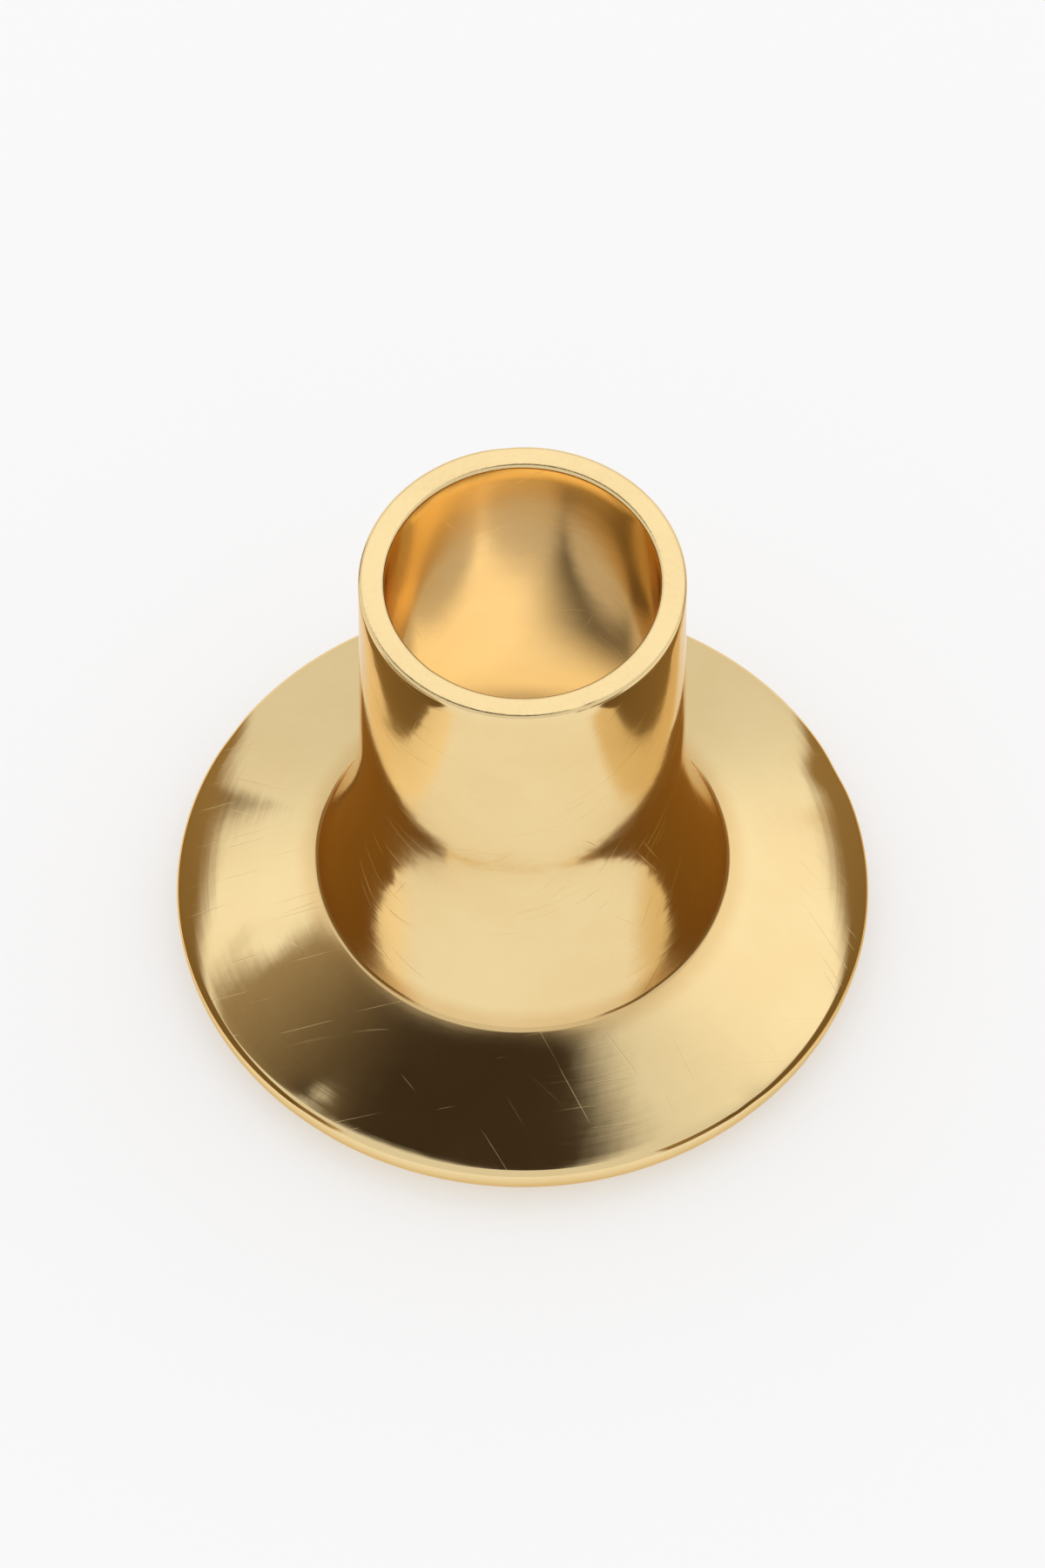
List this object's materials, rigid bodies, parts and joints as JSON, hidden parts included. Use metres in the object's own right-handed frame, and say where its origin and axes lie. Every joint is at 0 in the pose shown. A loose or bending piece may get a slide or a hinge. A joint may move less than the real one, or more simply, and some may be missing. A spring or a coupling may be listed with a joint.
{
  "type": "beehive frame eyelet",
  "caption": "Brass eyelet: a thin straight tube that flares like a trumpet into a thick round head, with a wide rounded mouth, a flat crown and a sloped back.",
  "frame": {"origin": "on the axis, level with the crown of the head, which is the flat ring that the eyelet stands on", "axes": "+Z along the tube, from the head to the free end; the part is round, so +X and +Y are any two directions across it"},
  "size_m": [0.0064, 0.0064, 0.0055],
  "materials": {
    "brass": "polished"
  },
  "bodies": {
    "root": {"eyelet": "brass"}
  },
  "joints": []
}
